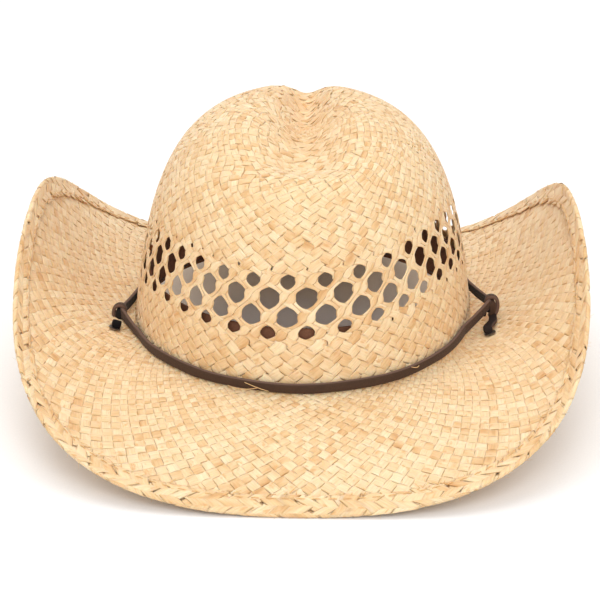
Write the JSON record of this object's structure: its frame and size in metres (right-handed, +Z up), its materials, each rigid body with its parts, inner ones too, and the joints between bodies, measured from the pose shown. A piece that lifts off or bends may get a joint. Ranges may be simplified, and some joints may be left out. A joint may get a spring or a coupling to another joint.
{
  "type": "cowboy hat",
  "caption": "Woven straw cowboy hat with a creased crown, rows of vents, rolled brim and a leather lace band tied at the sides.",
  "frame": {"origin": "on the floor plane under the middle of the hat, where the lowest points of the front and rear of the brim touch it", "axes": "+Z up, the front of the hat faces -Y, +X towards the hat right side as seen from the front"},
  "size_m": [0.2836, 0.355, 0.143],
  "materials": {
    "raffia": "matte natural straw",
    "raffia_hem": "matte natural straw",
    "edge_wire": "drawn wire",
    "straw_thread": "matte",
    "sweatband_leather": "smooth semi-gloss",
    "dark_thread": "matte",
    "label_cloth": "matte woven",
    "suede_lace": "brushed suede",
    "eyelet_metal": "dull dark nickel",
    "tie_cord": "smooth dark"
  },
  "bodies": {
    "root": {"woven_crown": "raffia", "woven_brim": "raffia", "brim_hem": "raffia_hem", "brim_wire": "edge_wire", "hem_stitching": "straw_thread", "sweatband": "sweatband_leather", "sweatband_stitching": "dark_thread", "sweatband_seam_tab": "sweatband_leather", "care_label": "label_cloth", "band_lace_front": "suede_lace", "band_lace_rear": "suede_lace", "band_knot_left": "suede_lace", "band_knot_right": "suede_lace", "eyelet_left": "eyelet_metal", "eyelet_right": "eyelet_metal", "eyelet_washer_left": "eyelet_metal", "eyelet_washer_right": "eyelet_metal", "lace_tie_left": "tie_cord", "lace_tie_right": "tie_cord", "tie_stopper_left": "tie_cord", "tie_stopper_right": "tie_cord"}
  },
  "joints": []
}
